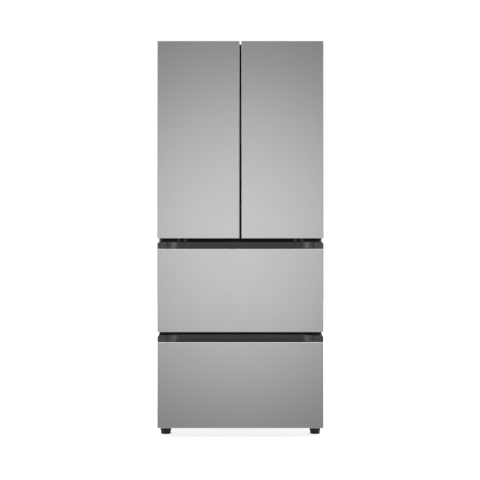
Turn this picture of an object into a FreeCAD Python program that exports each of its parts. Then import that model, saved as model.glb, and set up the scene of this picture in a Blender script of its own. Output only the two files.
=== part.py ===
"""A stand-type kimchi refrigerator: two upper doors over two pull-out drawers.

The frame is the floor under the middle of the footprint: +X to the right seen from the front,
+Y to the back, +Z up, in millimetres.
"""

import FreeCAD, Part
import Sketcher
import os
import re

# Driving dimensions, one cell each.
SIZES = {
    # Outline of the front, seen in elevation.
    "door_span": 750,
    "overall_depth": 775,
    "floor_gap": 44,
    "lower_panel_height": 390,
    "middle_panel_height": 377,
    "door_height": 891,
    "grip_height": 30,
    "drawer_gap": 14,
    "door_gap": 17,
    "door_split": 8,
    # Doors and drawer fronts.
    "front_thickness": 68,
    "seal_gap": 12,
    "skin_wall": 0.8,
    "edge_radius": 4,
    "lip_depth": 14,
    "front_liner_wall": 2.5,
    "cap_height": 25,
    "foam_inset": 4,
    # Cabinet box.
    "cabinet_inset": 2,
    "cabinet_rise": 1,
    "shell_wall": 1,
    "shell_bend": 3,
    "side_wall": 40,
    "top_wall": 40,
    "partition_width": 72,
    "door_sill": 43,
    "drawer_head": 37,
    "drawer_sill": 35,
    "base_sill": 67,
    "rear_bead_height": 4,
    "rear_insulation": 80,
    "liner_wall": 2.5,
    "liner_radius": 14,
    "foam_setback": 24,
    "trim_return": 18,
    "trim_gap": 3,
    "foam_corner": 5,
    # Machine room at the back of the base.
    "base_clearance": 46,
    "machine_depth": 230,
    "machine_height": 384,
    "machine_insulation": 55,
    "tray_wall": 1.5,
    "tray_overlap": 20,
    # Seals.
    "gasket_width": 16,
    "gasket_margin": 2,
    "gasket_clearance": 0.3,
    "gasket_bulb_inset": 3,
    "gasket_base": 4,
    # Hinges.
    "hinge_inset": 22,
    "hinge_setback": 37.5,
    "hinge_plate": 4,
    "hinge_arm_half": 12,
    "hinge_corner": 8,
    "hinge_pad_width": 80,
    "hinge_pad_length": 105,
    "mid_flange_length": 126,
    "pin_radius": 5,
    "pin_length": 20,
    "pin_clearance": 0.05,
    "pin_end_gap": 1,
    "hinge_cover_height": 14,
    "hinge_cover_wall": 2,
    "hinge_cover_corner": 7,
    "hinge_cover_crown": 3,
    "hinge_cover_margin": 4,
    "hinge_notch_gap": 1,
    "mid_arm_gap": 0.5,
    "mid_flange_height": 27,
    # Grips.
    "grip_setback": 8,
    "grip_groove_width": 29,
    "grip_groove_depth": 22,
    "grip_floor": 4,
    "grip_end": 53,
    "grip_end_flare": 36,
    "grip_flare_depth": 19.5,
    "grip_end_slant": 3,
    "grip_end_radius": 8,
    "door_grip_length": 200,
    "door_grip_width": 30,
    "door_grip_depth": 18,
    "door_grip_from_split": 30,
    "grip_edge": 1.5,
    "grip_lip_gap": 3,
    # Door linings, bins and shelves.
    "dike_clearance": 12,
    "dike_width": 26,
    "dike_height": 30,
    "dike_radius": 8,
    "bin_wall": 2.5,
    "bin_clearance": 0.5,
    "bin_depth": 85,
    "bin_height": 100,
    "lower_bin_rise": 40,
    "upper_bin_rise": 400,
    "bin_radius": 12,
    "bin_rest": 8,
    "bin_rest_height": 6,
    "shelf_count": 2,
    "shelf_glass": 5,
    "shelf_trim_height": 14,
    "shelf_trim_depth": 10,
    "shelf_side_clearance": 0.5,
    "shelf_front_setback": 88,
    "shelf_back_clearance": 12,
    "shelf_rib_width": 9,
    "shelf_rib_height": 8,
    # Drawers and their telescopic rails.
    "drawer_dike_side": 34,
    "rail_height": 44,
    "rail_depth": 13,
    "rail_wall": 1.5,
    "rail_clearance": 0.5,
    "rail_bar": 6,
    "rail_start": 8,
    "middle_rail_gap": 133,
    "lower_rail_gap": 28,
    "rail_drop": 42,
    "rail_end_gap": 5,
    "runner_neck": 6,
    "runner_wall": 2,
    "ledge_width": 14,
    "ledge_drop": 72,
    "bracket_drop": 30,
    "tub_wall": 2.5,
    "tub_floor_gap": 18,
    "tub_draft": 2.2,
    "tub_front_gap": 5,
    "tub_radius": 25,
    "tub_rim": 12,
    "tub_rim_wall": 3,
    "tub_side_gap": 0.5,
    "middle_tub_gap": 98,
    "lower_tub_gap": 38,
    # Feet and rollers.
    "foot_inset": 30,
    "foot_setback": 30,
    "foot_radius": 24.5,
    "foot_pad_radius": 23.5,
    "foot_pad_height": 10.5,
    "foot_collar_height": 15,
    "foot_stem_radius": 6,
    "foot_stem_length": 34,
    "foot_clearance": 0.05,
    "foot_boss_half": 11,
    "foot_boss_height": 16,
    "foot_pocket_half": 22,
    "foot_pocket_room": 11,
    "roller_radius": 22,
    "roller_width": 18,
    "roller_axle_radius": 4,
    "roller_clearance": 0.05,
    "roller_side_gap": 0.6,
    "roller_ear_wall": 2,
    "roller_ear_half": 14,
    "roller_inset": 70,
    "roller_setback": 60,
    # Cooling machine.
    "compressor_radius": 76,
    "compressor_height": 172,
    "compressor_seam": 112,
    "compressor_lap": 4,
    "compressor_plate": 3,
    "compressor_plate_half": 95,
    "mount_half": 12,
    "mount_height": 15,
    "mount_offset": 76,
    "compressor_inset": 167,
    "coil_header": 16,
    "coil_depth": 22,
    "coil_wall": 3,
    "coil_runs": 12,
    "coil_spacing": 20,
    "coil_length": 210,
    "coil_inset": 237,
    "coil_lift": 62,
    "coil_pan_gap": 4,
    "pan_height": 26,
    "pan_wall": 2,
    "pan_margin": 26,
    "fan_radius": 74,
    "fan_hub_radius": 22,
    "fan_hub_length": 20,
    "fan_gap": 8,
    "fan_tip_gap": 4,
    "fan_lift": 150,
    "fan_inset": 312,
    "fan_shaft_radius": 3,
    "fan_blade_wall": 2,
    "fan_blade_count": 5,
    "fan_blade_turn": 62,
    "fan_blade_sink": 7,
    "fan_blade_root": 12,
    "fan_blade_lead": 20,
    "fan_blade_trail": 15,
    "fan_blade_drop": 3,
    "shroud_wall": 3,
    "shroud_margin": 18,
    "motor_bar_half": 11,
    "motor_bar_overlap": 9,
    "motor_half": 25,
    "motor_length": 38,
    "evaporator_plate": 1.5,
    "evaporator_tube": 4,
    "evaporator_inset": 40,
    "evaporator_runs": 5,
    "louvre_length": 96,
    "louvre_columns": 4,
    "louvre_width": 8,
    "louvre_spacing": 40,
    "louvre_rows": 6,
    "louvre_drop": 80,
    "louvre_margin": 74,
    "gland_half": 13,
    "gland_hole": 5,
    "gland_neck": 9,
    "gland_flange": 3,
    "gland_rise": 50,
    "bead_width": 24,
    "bead_spacing": 150,
    "bead_count": 5,
    "bead_end": 72,
    "panel_width": 28,
    "panel_length": 210,
    "panel_wall": 3,
    "panel_corner": 6,
    "panel_drop": 210,
}

# Planes and levels that follow from those sizes.
PLACES = {
    "half_span": "door_span / 2",
    "front_y": "-overall_depth / 2",
    "front_back_y": "front_y + front_thickness",
    "front_liner_y": "front_back_y - front_liner_wall",
    "cabinet_y": "front_back_y + seal_gap",
    "cabinet_back_y": "overall_depth / 2 - rear_bead_height",
    "cabinet_half": "half_span - cabinet_inset",
    "shell_half": "cabinet_half - shell_wall",
    "behind_trim_y": "cabinet_y + shell_wall",
    "rear_sheet_y": "cabinet_back_y - shell_wall",
    "lower_z": "floor_gap",
    "lower_top_z": "lower_z + lower_panel_height",
    "lower_grip_z": "lower_top_z + grip_height",
    "middle_z": "lower_grip_z + drawer_gap",
    "middle_top_z": "middle_z + middle_panel_height",
    "middle_grip_z": "middle_top_z + grip_height",
    "door_z": "middle_grip_z + door_gap",
    "door_top_z": "door_z + door_height",
    "cabinet_top_z": "door_top_z + cabinet_rise",
    "door_inner_x": "door_split / 2",
    "opening_half": "cabinet_half - side_wall",
    "partition_half": "partition_width / 2",
    "upper_low_z": "door_z + door_sill",
    "upper_high_z": "cabinet_top_z - top_wall",
    "middle_low_z": "middle_z + drawer_sill",
    "middle_high_z": "middle_grip_z - drawer_head",
    "lower_low_z": "lower_z + base_sill",
    "lower_high_z": "lower_grip_z - drawer_head",
    "liner_back_y": "cabinet_back_y - rear_insulation",
    "machine_y": "cabinet_back_y - machine_depth",
    "machine_top_z": "base_clearance + machine_height",
    "lower_back_y": "machine_y - machine_insulation",
    "hinge_x": "half_span - hinge_inset",
    "hinge_y": "front_y + hinge_setback",
    "pin_bore": "pin_radius + pin_clearance",
    "evaporator_depth": "evaporator_plate + evaporator_tube",
    "tray_top_z": "base_clearance",
    "shelf_front_y": "cabinet_y + shelf_front_setback",
    "shelf_back_y": "liner_back_y - shelf_back_clearance",
    "shelf_tier": "(upper_high_z - upper_low_z) / (shelf_count + 1)",
    "foot_x": "half_span - foot_inset",
    "foot_y": "cabinet_y + foot_setback",
    "roller_x": "cabinet_half - roller_inset",
    "roller_y": "cabinet_back_y - roller_setback",
    "fan_y": "(machine_y + rear_sheet_y) / 2",
    "fan_z": "tray_top_z + fan_lift",
    "coil_y": "(machine_y + rear_sheet_y) / 2",
    "middle_back_y": "liner_back_y",
    "compressor_place": "shell_half - compressor_inset",
    "coil_left": "shell_half - coil_inset",
    "fan_place": "shell_half - fan_inset",
    "runner_inner": ("opening_half - 2 * (rail_wall + rail_clearance) - rail_bar - runner_neck"
                     " - ledge_width"),
}

doc = FreeCAD.newDocument("kimchi_refrigerator")
sheet = doc.addObject("Spreadsheet::Sheet", "sizes")
for row, (alias, size) in enumerate(SIZES.items(), start=1):
    sheet.set(f"A{row}", alias.replace("_", " "))
    sheet.set(f"B{row}", str(size))
    sheet.setAlias(f"B{row}", alias)
doc.recompute()

NODES = []
TOUCH = 0.01
FOOT_SIDES = 20


def formula(text):
    """Writes each named size in the text as a cell of the sheet."""

    def swap(match):
        name = match.group(0)
        if name in PLACES:
            return "(" + formula(PLACES[name]) + ")"
        return "sizes." + name if name in SIZES else name

    return re.sub(r"[A-Za-z_]\w*", swap, str(text))


def number(text):
    """The present value of a size or of sums on sizes."""
    return float(sheet.evalExpression(formula(text)))


def node(thing, label):
    """Names a finished sub-part, which gets a file of its own."""
    thing.Label = label
    NODES.append(thing)
    return thing


# Plain solids, and what is cut from them or joined.
def box(name, x, y, z):
    made = doc.addObject("Part::Box", name)
    for side, axis, (low, high) in zip(("Length", "Width", "Height"), "xyz", (x, y, z)):
        made.setExpression(side, formula(f"({high}) - ({low})"))
        made.setExpression(f"Placement.Base.{axis}", formula(low))
    return made


def cut(name, base, *tools):
    for index, tool in enumerate(tools, start=1):
        made = doc.addObject("Part::Cut", f"{name}_cut_{index}")
        made.Base = base
        made.Tool = tool
        base = made
    return base


def fuse(name, *pieces):
    made = doc.addObject("Part::MultiFuse", name)
    made.Shapes = list(pieces)
    made.Refine = True
    return made


def group(name, *pieces):
    made = doc.addObject("Part::Compound", name)
    made.Links = list(pieces)
    return made


def mirror(name, source):
    made = doc.addObject("Part::Mirroring", name)
    made.Source = source
    made.Normal = FreeCAD.Vector(1, 0, 0)
    return made


# Pieces drawn as outlines on their own planes.
def rectangle(a, b):
    (a_low, a_high), (b_low, b_high) = a, b
    return [(a_low, b_low), (a_high, b_low), (a_high, b_high), (a_low, b_high)]


def close_loop(sketch, points):
    """Adds one closed outline whose corners are bound to the sheet."""
    first = sketch.GeometryCount
    spots = [FreeCAD.Vector(number(a), number(b), 0) for a, b in points]
    count = len(spots)
    for index in range(count):
        line = Part.LineSegment(spots[index], spots[(index + 1) % count])
        sketch.addGeometry(line, False)
    for index in range(count):
        following = first + (index + 1) % count
        sketch.addConstraint(Sketcher.Constraint("Coincident", first + index, 2, following, 1))
    for index, corner in enumerate(points):
        for kind, place in zip(("DistanceX", "DistanceY"), corner):
            held = Sketcher.Constraint(kind, -1, 1, first + index, 1, number(place))
            bound = sketch.addConstraint(held)
            sketch.setExpression(f"Constraints[{bound}]", formula(place))


def round_loop(sketch, centre, radius):
    """Adds one circle bound to the sheet."""
    spot = FreeCAD.Vector(number(centre[0]), number(centre[1]), 0)
    circle = Part.Circle(spot, FreeCAD.Vector(0, 0, 1), number(radius))
    index = sketch.addGeometry(circle, False)
    bound = sketch.addConstraint(Sketcher.Constraint("Radius", index, number(radius)))
    sketch.setExpression(f"Constraints[{bound}]", formula(radius))
    for kind, place in zip(("DistanceX", "DistanceY"), centre):
        held = Sketcher.Constraint(kind, -1, 1, index, 3, number(place))
        bound = sketch.addConstraint(held)
        sketch.setExpression(f"Constraints[{bound}]", formula(place))


def sketch_on(body, name, plane, level, loops=(), circles=()):
    """A sketch on one of the body's own planes, moved along that plane's normal to a level."""
    sketch = body.newObject("Sketcher::SketchObject", name)
    origin = [f for f in body.Origin.OriginFeatures if f.Role == f"{plane}_Plane"][0]
    sketch.AttachmentSupport = [(origin, "")]
    sketch.MapMode = "FlatFace"
    lift = f"-({level})" if plane == "XZ" else level
    sketch.setExpression("AttachmentOffset.Base.z", formula(lift))
    for points in loops:
        close_loop(sketch, points)
    for centre, radius in circles:
        round_loop(sketch, centre, radius)
    return sketch


def new_body(name):
    return doc.addObject("PartDesign::Body", name)


def finish_feature(body, feature):
    body.Tip = feature
    doc.recompute()
    if feature.Shape.isNull() or "Invalid" in feature.State:
        raise RuntimeError(f"{feature.Name} did not build: {feature.getStatusString()}")
    return feature


def pad(body, name, plane, span, loops=(), circles=()):
    """Adds material between two levels along the plane's normal."""
    low, high = span
    level = high if plane == "XZ" else low
    feature = body.newObject("PartDesign::Pad", name)
    feature.Profile = sketch_on(body, f"{name}_outline", plane, level, loops, circles)
    feature.setExpression("Length", formula(f"({high}) - ({low})"))
    return finish_feature(body, feature)


def pocket(body, name, plane, span, loops=(), circles=()):
    """Removes material between two levels along the plane's normal."""
    low, high = span
    level = low if plane == "XZ" else high
    before = body.Shape.Volume
    feature = body.newObject("PartDesign::Pocket", name)
    feature.Profile = sketch_on(body, f"{name}_outline", plane, level, loops, circles)
    feature.setExpression("Length", formula(f"({high}) - ({low})"))
    finish_feature(body, feature)
    if body.Shape.Volume > before - TOUCH:
        raise RuntimeError(f"{name} cuts nothing")
    return feature


def many_sided(radius):
    """An even outline about the body's Z axis, with its corners at a radius."""
    turns = [360 / FOOT_SIDES * step for step in range(FOOT_SIDES)]
    return [(f"{radius} * cos({turn} deg)", f"{radius} * sin({turn} deg)") for turn in turns]


def revolve(body, name, points):
    """Turns a half outline, given as radius and height, about the body's Z axis."""
    sketch = sketch_on(body, f"{name}_outline", "XZ", "0", [points])
    feature = body.newObject("PartDesign::Revolution", name)
    feature.Profile = sketch
    feature.ReferenceAxis = (sketch, ["V_Axis"])
    feature.Angle = 360
    return finish_feature(body, feature)


def repeat(body, name, features, axis, step, count):
    """Copies features along a body axis, a step apart."""
    line = [f for f in body.Origin.OriginFeatures if f.Role == f"{axis}_Axis"][0]
    feature = body.newObject("PartDesign::LinearPattern", name)
    feature.Originals = features
    feature.Direction = (line, [""])
    feature.setExpression("Length", formula(f"({step}) * (({count}) - 1)"))
    feature.setExpression("Occurrences", formula(count))
    return finish_feature(body, feature)


def spans(edge):
    bounds = edge.BoundBox
    return {
        "x": (bounds.XMin, bounds.XMax),
        "y": (bounds.YMin, bounds.YMax),
        "z": (bounds.ZMin, bounds.ZMax),
    }


def lies(edge, **levels):
    """True if the whole edge lies at each of the levels named."""
    held = spans(edge)
    return all(max(abs(v - number(level)) for v in held[axis]) < TOUCH for axis, level in levels.items())


def runs(edge, axis):
    """True if the edge is straight along an axis."""
    return all((high - low > TOUCH) == (letter == axis) for letter, (low, high) in spans(edge).items())


def soften(body, name, radius, test, kind="PartDesign::Fillet"):
    """Rounds or chamfers the edges of the body that pass a test."""
    base = body.Tip
    names = [f"Edge{i}" for i, edge in enumerate(base.Shape.Edges, start=1) if test(edge)]
    if not names:
        raise RuntimeError(f"{name} finds no edge")
    feature = body.newObject(kind, name)
    feature.Base = (base, names)
    feature.setExpression("Radius" if kind.endswith("Fillet") else "Size", formula(radius))
    return finish_feature(body, feature)


def stand(body, x, y, z, sideways=False):
    """Stands a body that was drawn about its own origin in its place, with its axis upright or along X."""
    if sideways:
        body.Placement.Rotation = FreeCAD.Rotation(FreeCAD.Vector(0, 1, 0), 90)
    for axis, place in zip("xyz", (x, y, z)):
        body.setExpression(f"Placement.Base.{axis}", formula(place))
    return body


def widen(span, margin):
    low, high = span
    return (f"{low} - ({margin})", f"{high} + ({margin})")


def narrow(span, margin):
    return widen(span, f"-({margin})")


def left_and_right(name, piece):
    """One node with a piece and its mirror image."""
    return node(group(name, piece, mirror(f"{name}_right", piece)), name)


# Folded steel front of a door or drawer: a pan whose face has a rounded edge, open at the back.
def front_skin(label, x, z):
    def block(name, x, z, front, size, kind):
        body = new_body(name)
        pad(body, f"{name}_block", "XZ", (front, "front_liner_y"), [rectangle(x, z)])
        soften(body, f"{name}_edges", size, lambda edge: lies(edge, y=front), kind)
        return body

    outer = block(f"{label}_outside", x, z, "front_y", "edge_radius", "PartDesign::Fillet")
    inner_x, inner_z = narrow(x, "skin_wall"), narrow(z, "skin_wall")
    inner = block(f"{label}_inside", inner_x, inner_z, "front_y + skin_wall", "edge_radius - skin_wall",
                  "PartDesign::Chamfer")
    ends = box(f"{label}_ends", inner_x, ("front_y + lip_depth", "front_liner_y"), z)
    return node(cut(label, outer, inner, ends), label)


# Plastic sheet behind a door or drawer front, with a raised dike that stands in the opening.
def front_liner(label, x, z, dike_x, dike_z):
    body = new_body(f"{label}_body")
    pad(body, f"{label}_sheet", "XZ", ("front_liner_y", "front_back_y"), [rectangle(x, z)])
    ring = [rectangle(dike_x, dike_z), rectangle(narrow(dike_x, "dike_width"), narrow(dike_z, "dike_width"))]
    top = "front_back_y + dike_height"
    pad(body, f"{label}_dike", "XZ", ("front_back_y", top), ring)
    soften(body, f"{label}_dike_edges", "dike_radius", lambda edge: lies(edge, y=top))
    return body


# Magnetic seal: a flat base strip with a narrower bulb, in one closed ring.
def gasket(label, x, z):
    def ring(inset):
        sides = (f"gasket_margin + gasket_width - {inset}", f"gasket_margin + {inset}")
        return [rectangle(widen(x, side), widen(z, side)) for side in sides]

    body = new_body(f"{label}_body")
    base_top = "front_back_y + gasket_base"
    pad(body, f"{label}_base", "XZ", ("front_back_y", base_top), ring("0"))
    pad(body, f"{label}_bulb", "XZ", (base_top, "cabinet_y - gasket_clearance"), ring("gasket_bulb_inset"))
    return node(body, label)


# Upper doors. The left one is drawn and the right one is its mirror image.
def doors():
    x, z = ("-half_span", "-door_inner_x"), ("door_z", "door_top_z")
    inside_x = narrow(x, "skin_wall")
    cap_y = ("front_y + lip_depth", "front_liner_y")
    axis = ("-hinge_x", "hinge_y")
    opening_x, opening_z = ("-opening_half", "-partition_half"), ("upper_low_z", "upper_high_z")
    dike_x, dike_z = narrow(opening_x, "dike_clearance"), narrow(opening_z, "dike_clearance")

    skin = front_skin("left_door_skin", x, z)
    core_z = narrow(z, "cap_height")
    core_y = ("front_y + skin_wall", "front_liner_y")
    core = node(box("left_door_foam", narrow(inside_x, "foam_inset"), core_y, core_z), "left_door_foam")

    top_cap = new_body("left_top_cap")
    pad(top_cap, "left_top_cap_block", "XY", ("door_top_z - cap_height", "door_top_z"),
        [rectangle(inside_x, cap_y)])
    pocket(top_cap, "left_top_cap_bore", "XY", ("door_top_z - pin_length - pin_end_gap", "door_top_z"),
           circles=[(axis, "pin_bore")])
    bottom_cap = new_body("left_bottom_cap")
    pad(bottom_cap, "left_bottom_cap_block", "XY", ("door_z", "door_z + cap_height"),
        [rectangle(inside_x, cap_y)])
    pocket(bottom_cap, "left_bottom_cap_bore", "XY", ("door_z", "door_z + pin_length + pin_end_gap"),
           circles=[(axis, "pin_bore")])
    grip_inner = "-door_inner_x - door_grip_from_split"
    grip_x = (f"{grip_inner} - door_grip_length", grip_inner)
    grip_y = ("front_y + lip_depth + grip_lip_gap", "front_y + lip_depth + grip_lip_gap + door_grip_width")
    pocket(bottom_cap, "left_bottom_cap_grip", "XY", ("door_z", "door_z + door_grip_depth"),
           [rectangle(grip_x, grip_y)])
    caps = node(group("left_door_caps", top_cap, bottom_cap), "left_door_caps")

    liner = front_liner("left_door_liner", x, z, dike_x, dike_z)
    bin_x = narrow(narrow(dike_x, "dike_width"), "bin_clearance")
    bin_y = ("front_back_y + bin_clearance", "front_back_y + bin_depth")
    rest_ends = narrow(dike_x, "dike_width")
    bins = []
    for name, rise in (("lower", "lower_bin_rise"), ("upper", "upper_bin_rise")):
        floor = f"upper_low_z + {rise}"
        rest_z = (f"{floor} - bin_rest_height", floor)
        rest_y = ("front_back_y", "front_back_y + dike_height - dike_radius")
        rests = [rectangle((rest_ends[0], f"{rest_ends[0]} + bin_rest"), rest_z),
                 rectangle((f"{rest_ends[1]} - bin_rest", rest_ends[1]), rest_z)]
        pad(liner, f"left_door_{name}_bin_rests", "XZ", rest_y, rests)
        corners = []
        for side, inset, lift, radius in (("outside", "0", "0", "bin_radius"),
                                          ("inside", "bin_wall", "bin_wall", "bin_radius - bin_wall")):
            block = new_body(f"left_{name}_bin_{side}")
            block_x, block_y = narrow(bin_x, inset), narrow(bin_y, inset)
            pad(block, f"left_{name}_bin_{side}_block", "XY", (f"{floor} + {lift}", f"{floor} + bin_height"),
                [rectangle(block_x, block_y)])
            soften(block, f"left_{name}_bin_{side}_corners", radius,
                   lambda edge: runs(edge, "z") and lies(edge, y=block_y[1]))
            corners.append(block)
        bins.append(cut(f"left_{name}_bin", *corners))
    node(liner, "left_door_liner")
    bins = node(group("left_door_bins", *bins), "left_door_bins")
    seal = gasket("left_door_gasket", opening_x, opening_z)
    for piece in (skin, core, caps, liner, bins, seal):
        label = piece.Label.replace("left", "right")
        node(mirror(label, piece), label)


doors()


# Drawers: front with a finger groove above it, tub and telescopic rails.
def grip(label, top, grip_top):
    body = new_body(f"{label}_body")
    front = "front_y + grip_setback"
    back = f"{front} + grip_groove_width"
    inner = "front_y + lip_depth + grip_lip_gap"
    floor = f"{top} - grip_groove_depth"
    block_x = ("-half_span", "half_span")
    pad(body, f"{label}_block", "XY", (top, grip_top), [rectangle(block_x, (front, "front_liner_y"))])
    tail_x = narrow(block_x, "skin_wall + foam_inset")
    tail_y = ("front_y + lip_depth", "front_liner_y")
    pad(body, f"{label}_tail", "XY", (f"{floor} - grip_floor", top), [rectangle(tail_x, tail_y)])
    bend = f"{front} + grip_flare_depth"
    far = "half_span - grip_end"
    flare = f"{far} - grip_end_flare"
    near = f"{flare} - grip_end_slant"
    mid = f"{far} - grip_end_flare * ({inner} - ({front})) / grip_flare_depth"
    end = [(flare, bend), (near, back), (f"-({near})", back), (f"-({flare})", bend)]
    upper = [(f"-({far})", front), (far, front)] + end
    lower = [(f"-({mid})", inner), (mid, inner)] + end
    pocket(body, f"{label}_mouth", "XY", (top, grip_top), [upper])
    pocket(body, f"{label}_groove", "XY", (floor, top), [lower])
    soften(body, f"{label}_ends", "grip_end_radius", lambda edge: runs(edge, "z") and lies(edge, y=back))
    soften(body, f"{label}_rim", "grip_edge",
           lambda edge: lies(edge, z=grip_top) and not lies(edge, y="front_liner_y"), "PartDesign::Chamfer")
    return node(body, label)


def tub(label, ledge, low, depth):
    half = "runner_inner - tub_side_gap"
    front = "front_back_y + dike_height + tub_front_gap"
    rim = f"{ledge} + tub_rim_wall"

    def block(name, inset, floor, radius):
        body = new_body(f"{name}_body")
        side = f"({half}) - {inset}"
        y = (f"{front} + {inset}", f"{front} + {depth} - {inset}")
        base = pad(body, f"{name}_block", "XY", (floor, rim), [rectangle((f"-({side})", side), y)])
        draft = body.newObject("PartDesign::Draft", name)
        faces = base.Shape.Faces
        level = number(rim)
        walls = [f"Face{i}" for i, face in enumerate(faces, start=1) if face.BoundBox.ZLength > TOUCH]
        tops = [f"Face{i}" for i, face in enumerate(faces, start=1) if face.BoundBox.ZMin > level - TOUCH]
        draft.Base = (base, walls)
        draft.NeutralPlane = (base, tops)
        draft.Reversed = True
        draft.setExpression("Angle", formula("tub_draft"))
        finish_feature(body, draft)
        if body.Shape.Volume > base.Shape.Volume:
            raise RuntimeError(f"{name} widens to the floor")
        soften(body, f"{name}_corners", radius, lambda edge: edge.BoundBox.ZLength > TOUCH)
        return body

    bottom = f"{low} + tub_floor_gap"
    outside = block(f"{label}_outside", "0", bottom, "tub_radius")
    inside = block(f"{label}_inside", "tub_wall", f"{bottom} + tub_wall", "tub_radius - tub_wall")
    rim_half = f"{half} + tub_rim"
    rim_y = (f"{front} + tub_radius", f"{front} + {depth} - tub_radius")
    flange = box(f"{label}_rim", (f"-({rim_half})", rim_half), rim_y, (ledge, rim))
    return node(cut(label, fuse(f"{label}_solid", outside, flange), inside), label)


def c_section(back, lip, centre, half, wall):
    """Outline of a C-shaped rail that opens to the middle of the cabinet."""
    low, high = f"{centre} - ({half})", f"{centre} + ({half})"
    web = f"{back} + {wall}"
    return [(back, low), (lip, low), (lip, f"{low} + {wall}"), (web, f"{low} + {wall}"),
            (web, f"{high} - {wall}"), (lip, f"{high} - {wall}"), (lip, high), (back, high)]


def rails(name, ledge, length):
    """Outer channel, intermediate rail and runner of the left side, one inside the next."""
    centre = f"({ledge} - rail_drop)"
    start = "cabinet_y + rail_start"
    channel = new_body(f"{name}_channel")
    outer = c_section("-opening_half", "-opening_half + rail_depth", centre, "rail_height / 2", "rail_wall")
    pad(channel, f"{name}_channel_run", "XZ", (start, f"{start} + {length}"), [outer])

    step = "(rail_wall + rail_clearance)"
    between = new_body(f"{name}_between")
    middle = c_section(f"-opening_half + {step}", "-opening_half + rail_depth - rail_clearance", centre,
                       f"rail_height / 2 - {step}", "rail_wall")
    pad(between, f"{name}_between_run", "XZ", (start, f"{start} + {length} - rail_end_gap"), [middle])

    bar_half = f"(rail_height / 2 - 2 * {step})"
    web = "runner_wall / 2"
    far, near = f"-opening_half + 2 * {step}", f"-opening_half + 2 * {step} + rail_bar"
    riser, inner = f"{near} + runner_neck", "-runner_inner"
    section = [
        (far, f"{centre} - {bar_half}"), (near, f"{centre} - {bar_half}"),
        (near, f"{centre} - {web}"), (f"{riser} + runner_wall", f"{centre} - {web}"),
        (f"{riser} + runner_wall", f"{ledge} - runner_wall"), (inner, f"{ledge} - runner_wall"),
        (inner, ledge), (riser, ledge),
        (riser, f"{centre} + {web}"), (near, f"{centre} + {web}"),
        (near, f"{centre} + {bar_half}"), (far, f"{centre} + {bar_half}"),
    ]
    runner = new_body(f"{name}_runner")
    runner_y = ("front_back_y", f"{start} + {length} - 2 * rail_end_gap")
    pad(runner, f"{name}_runner_run", "XZ", runner_y, [section])
    plate = [rectangle((far, inner), (f"{centre} - bracket_drop", ledge))]
    pad(runner, f"{name}_runner_bracket", "XZ", ("front_back_y", "front_back_y + runner_wall"), plate)
    return channel, between, runner


def drawers():
    channels = []
    for name in ("middle", "lower"):
        drawer = f"{name}_drawer"
        low, top, grip_top = f"{name}_z", f"{name}_top_z", f"{name}_grip_z"
        x = ("-half_span", "half_span")
        opening_x, opening_z = ("-opening_half", "opening_half"), (f"{name}_low_z", f"{name}_high_z")
        front_skin(f"{drawer}_panel", x, (low, top))
        grip(f"{drawer}_grip", top, grip_top)
        core_z = (f"{low} + skin_wall + foam_inset", f"{top} - grip_groove_depth - grip_floor")
        core_x = narrow(x, "skin_wall + foam_inset")
        core_y = ("front_y + skin_wall", "front_liner_y")
        node(box(f"{drawer}_foam", core_x, core_y, core_z), f"{drawer}_foam")
        dike_x = narrow(opening_x, "drawer_dike_side")
        dike_z = narrow(opening_z, "dike_clearance")
        liner = front_liner(f"{drawer}_liner", x, (low, grip_top), dike_x, dike_z)
        node(liner, f"{drawer}_liner")
        gasket(f"{drawer}_gasket", opening_x, opening_z)
        ledge = f"({name}_high_z - ledge_drop)"
        tub_depth = f"({name}_back_y - front_back_y - dike_height - tub_front_gap - {name}_tub_gap)"
        tub(f"{drawer}_tub", ledge, f"{name}_low_z", tub_depth)
        rail_length = f"({name}_back_y - cabinet_y - rail_start - {name}_rail_gap)"
        channel, between, runner = rails(drawer, ledge, rail_length)
        left_and_right(f"{drawer}_runners", runner)
        left_and_right(f"{drawer}_mid_rails", between)
        channels += [channel, mirror(f"{drawer}_channel_right", channel)]
    node(group("rail_channels", *channels), "rail_channels")


drawers()


# Folded steel cabinet with front flanges, closed at the back by a beaded sheet.
def cabinet():
    shell = new_body("outer_shell_body")
    out, side, top, low = "cabinet_half", "shell_half", "cabinet_top_z", "base_clearance"
    wall = [(f"-{out}", low), (f"-{out}", top), (out, top), (out, low), (side, low),
            (side, f"{top} - shell_wall"), (f"-{side}", f"{top} - shell_wall"), (f"-{side}", low)]
    pad(shell, "shell_walls", "XZ", ("cabinet_y", "cabinet_back_y"), [wall])
    soften(shell, "shell_bends", "shell_bend", lambda edge: runs(edge, "y") and lies(edge, z="cabinet_top_z"))
    opening, sill, head, under = "opening_half", "lower_low_z", "upper_high_z", f"{top} - shell_wall"
    flange = [(f"-{side}", sill), (f"-{side}", under), (side, under), (side, sill), (opening, sill),
              (opening, head), (f"-{opening}", head), (f"-{opening}", sill)]
    pad(shell, "shell_flange", "XZ", ("cabinet_y", "behind_trim_y"), [flange])
    node(shell, "outer_shell")

    rear = new_body("rear_panel_body")
    sheet_z = ("machine_top_z", "cabinet_top_z - shell_wall")
    pad(rear, "rear_sheet", "XZ", ("rear_sheet_y", "cabinet_back_y"),
        [rectangle(("-shell_half", "shell_half"), sheet_z)])
    first = "-bead_spacing * (bead_count - 1) / 2"
    bead_x = (f"{first} - bead_width / 2", f"{first} + bead_width / 2")
    bead_y = ("cabinet_back_y", "cabinet_back_y + rear_bead_height")
    bead = pad(rear, "rear_bead", "XZ", bead_y, [rectangle(bead_x, narrow(sheet_z, "bead_end"))])
    repeat(rear, "rear_beads", [bead], "X", "bead_spacing", "bead_count")
    node(rear, "rear_panel")


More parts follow.
